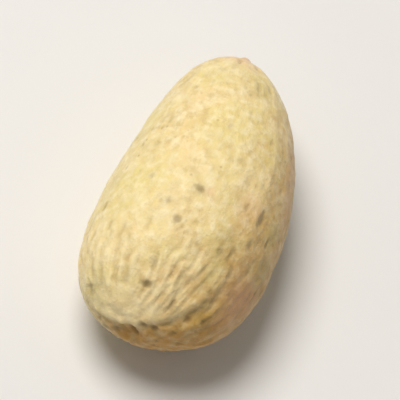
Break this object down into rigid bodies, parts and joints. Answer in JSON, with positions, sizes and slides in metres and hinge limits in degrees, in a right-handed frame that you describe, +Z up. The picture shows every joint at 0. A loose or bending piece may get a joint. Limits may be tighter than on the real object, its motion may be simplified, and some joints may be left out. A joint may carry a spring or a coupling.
{
  "type": "neem seed",
  "caption": "Whole dried neem seed in its pale woody shell: a plump, slightly lopsided teardrop with faint seams, a blunt scarred end and a small point, lying on its side.",
  "frame": {"origin": "under the middle of the seed, on the plane of the flat spot that it rests on", "axes": "+X along the seed, from the blunt scarred end to the point; +Y across it; +Z up, through its thickness"},
  "size_m": [0.015, 0.0086, 0.0073],
  "materials": {
    "seed_shell": "matte"
  },
  "bodies": {
    "root": {"neem_seed": "seed_shell"}
  },
  "joints": []
}
